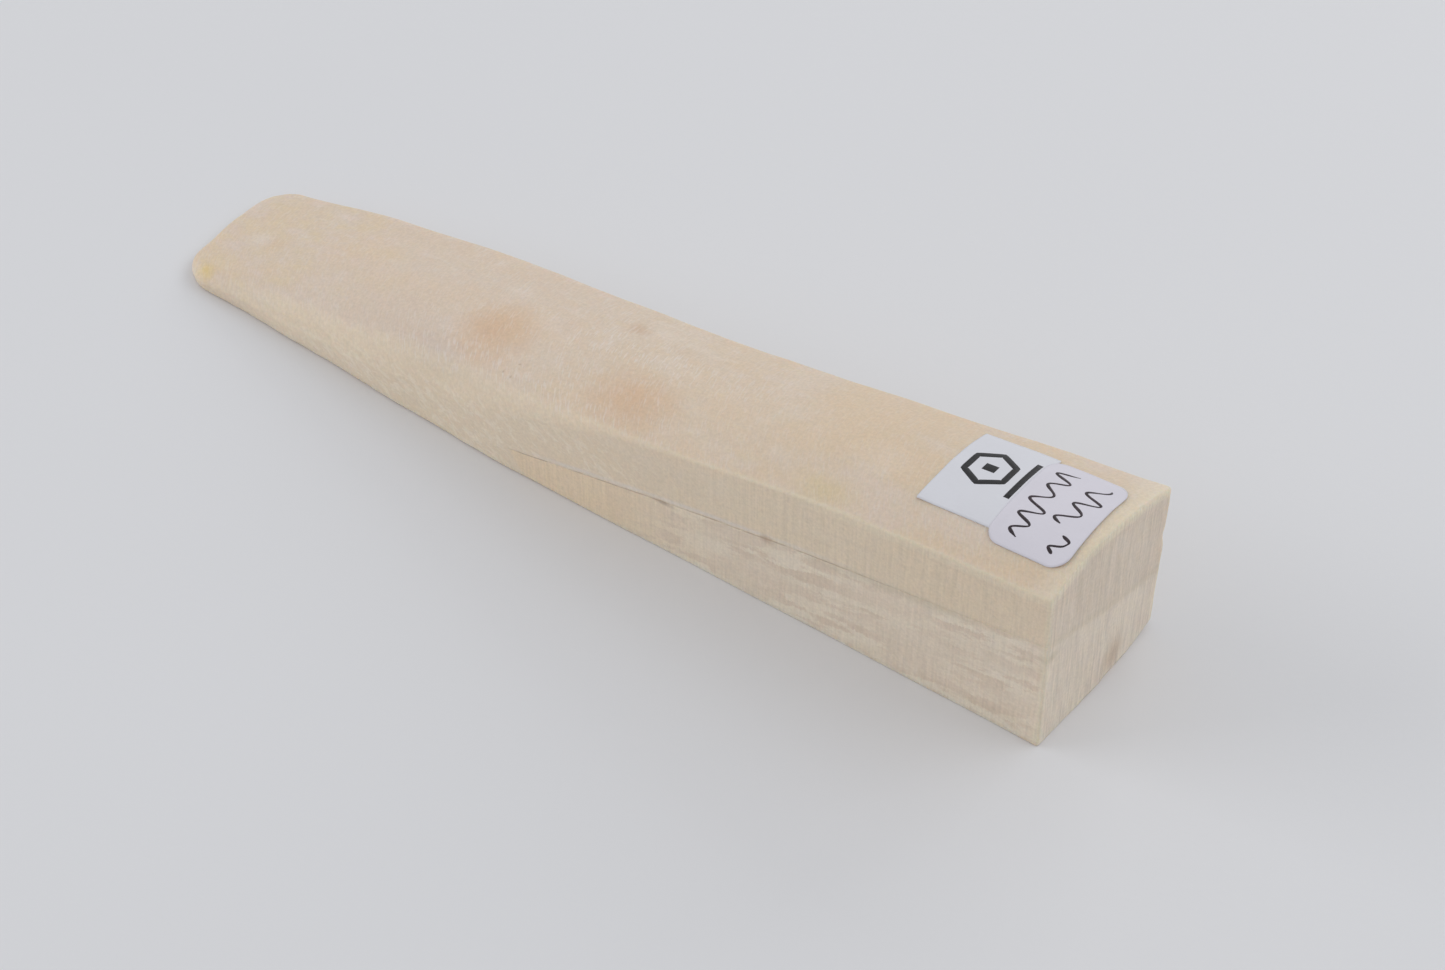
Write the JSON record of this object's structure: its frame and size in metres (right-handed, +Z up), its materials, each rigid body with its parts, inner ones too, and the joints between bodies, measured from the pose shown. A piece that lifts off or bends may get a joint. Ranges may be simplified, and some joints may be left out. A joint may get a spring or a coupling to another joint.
{
  "type": "bone folder",
  "caption": "Tapered bone bar for creasing paper: thick square-sawn butt, crowned top sloping to a thin rounded tip, flat underside, with blank paper labels stuck on the top near the butt.",
  "frame": {"origin": "middle of the bar's box, on the plane of its flat underside", "axes": "+X along the bar from the thin tip to the thick butt, +Y across the bar towards its longer curved side, +Z up out of the crowned top"},
  "size_m": [0.132, 0.026, 0.0265],
  "materials": {
    "bone": "satin",
    "label_paper": "matte",
    "label_card": "matte",
    "ink": "matte"
  },
  "bodies": {
    "root": {"bone_bar": "bone", "square_label": "label_paper", "price_label": "label_card"}
  },
  "joints": []
}
